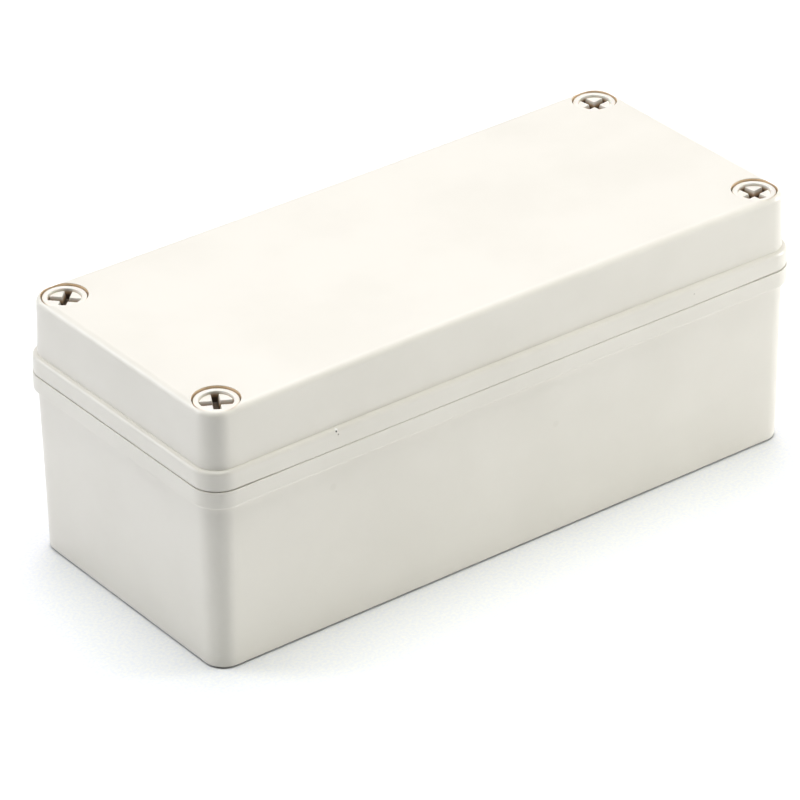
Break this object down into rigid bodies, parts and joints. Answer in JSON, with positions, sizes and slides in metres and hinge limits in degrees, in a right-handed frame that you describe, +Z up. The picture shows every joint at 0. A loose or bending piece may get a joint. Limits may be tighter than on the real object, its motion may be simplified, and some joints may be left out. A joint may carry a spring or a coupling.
{
  "type": "sealed plastic project box",
  "caption": "Oblong light-grey plastic enclosure: deep base, shallower lift-off lid on a gasket, held by captive cross-recess screws in corner wells.",
  "frame": {"origin": "centre of the box's underside", "axes": "+X along the length, +Y across the width, +Z up through the lid"},
  "size_m": [0.1796, 0.0786, 0.07],
  "materials": {
    "shell_abs": "satin moulded ABS, warm light grey",
    "screw_plastic": "moulded nylon, warm light grey",
    "seal_rubber": "black foam rubber cord",
    "ring_rubber": "black nitrile rubber"
  },
  "bodies": {
    "base": {"base": "shell_abs"},
    "lid": {"lid": "shell_abs", "gasket": "seal_rubber"},
    "front_ring": {"ring_front": "ring_rubber"},
    "front_screw": {"screw_front": "screw_plastic"},
    "right_ring": {"ring_right": "ring_rubber"},
    "right_screw": {"screw_right": "screw_plastic"},
    "back_ring": {"ring_back": "ring_rubber"},
    "back_screw": {"screw_back": "screw_plastic"},
    "left_ring": {"ring_left": "ring_rubber"},
    "left_screw": {"screw_left": "screw_plastic"}
  },
  "joints": [
    {"name": "lid_lift", "type": "slide", "parent": "base", "child": "lid", "axis": [0, 0, 1], "range_m": [0, 0.045]},
    {"name": "front_rise", "type": "slide", "parent": "lid", "child": "front_ring", "axis": [0, 0, 1], "range_m": [0, 0.01]},
    {"name": "front_turn", "type": "hinge", "parent": "front_ring", "child": "front_screw", "pos_m": [-0.08155, -0.03105, 0.0695], "axis": [0, 0, 1], "range_deg": [0, 1800]},
    {"name": "right_rise", "type": "slide", "parent": "lid", "child": "right_ring", "axis": [0, 0, 1], "range_m": [0, 0.01]},
    {"name": "right_turn", "type": "hinge", "parent": "right_ring", "child": "right_screw", "pos_m": [0.08155, -0.03105, 0.0695], "axis": [0, 0, 1], "range_deg": [0, 1800]},
    {"name": "back_rise", "type": "slide", "parent": "lid", "child": "back_ring", "axis": [0, 0, 1], "range_m": [0, 0.01]},
    {"name": "back_turn", "type": "hinge", "parent": "back_ring", "child": "back_screw", "pos_m": [0.08155, 0.03105, 0.0695], "axis": [0, 0, 1], "range_deg": [0, 1800]},
    {"name": "left_rise", "type": "slide", "parent": "lid", "child": "left_ring", "axis": [0, 0, 1], "range_m": [0, 0.01]},
    {"name": "left_turn", "type": "hinge", "parent": "left_ring", "child": "left_screw", "pos_m": [-0.08155, 0.03105, 0.0695], "axis": [0, 0, 1], "range_deg": [0, 1800]}
  ],
  "couplings": [
    {"joint": "front_turn", "follows": "front_rise", "rad_per_m": 3141.6},
    {"joint": "right_turn", "follows": "right_rise", "rad_per_m": 3141.6},
    {"joint": "back_turn", "follows": "back_rise", "rad_per_m": 3141.6},
    {"joint": "left_turn", "follows": "left_rise", "rad_per_m": 3141.6}
  ]
}
